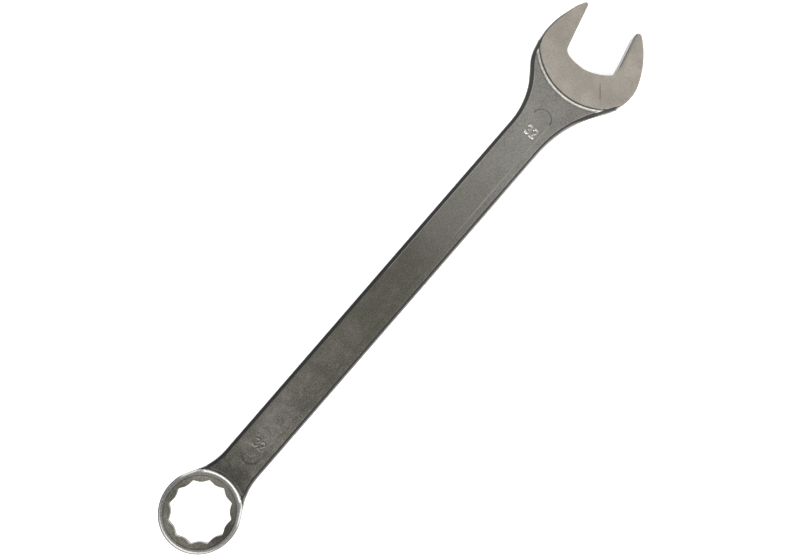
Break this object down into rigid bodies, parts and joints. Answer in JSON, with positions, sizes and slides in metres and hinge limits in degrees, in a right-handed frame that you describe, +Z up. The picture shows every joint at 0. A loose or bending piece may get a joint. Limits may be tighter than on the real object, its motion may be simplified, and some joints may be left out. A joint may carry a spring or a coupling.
{
  "type": "combination wrench",
  "caption": "Forged combination wrench: a slanted open jaw at one end and a cranked ring with a pointed socket at the other, joined by a flat shank with rounded sides.",
  "frame": {"origin": "on the surface the wrench lies on, under the middle of its bounding box", "axes": "+X along the shank toward the open jaw, +Z up out of the marked face, +Y to the side of the longer jaw"},
  "size_m": [0.4046, 0.0642, 0.0289],
  "materials": {
    "forged_steel": "satin"
  },
  "bodies": {
    "root": {"wrench": "forged_steel"}
  },
  "joints": []
}
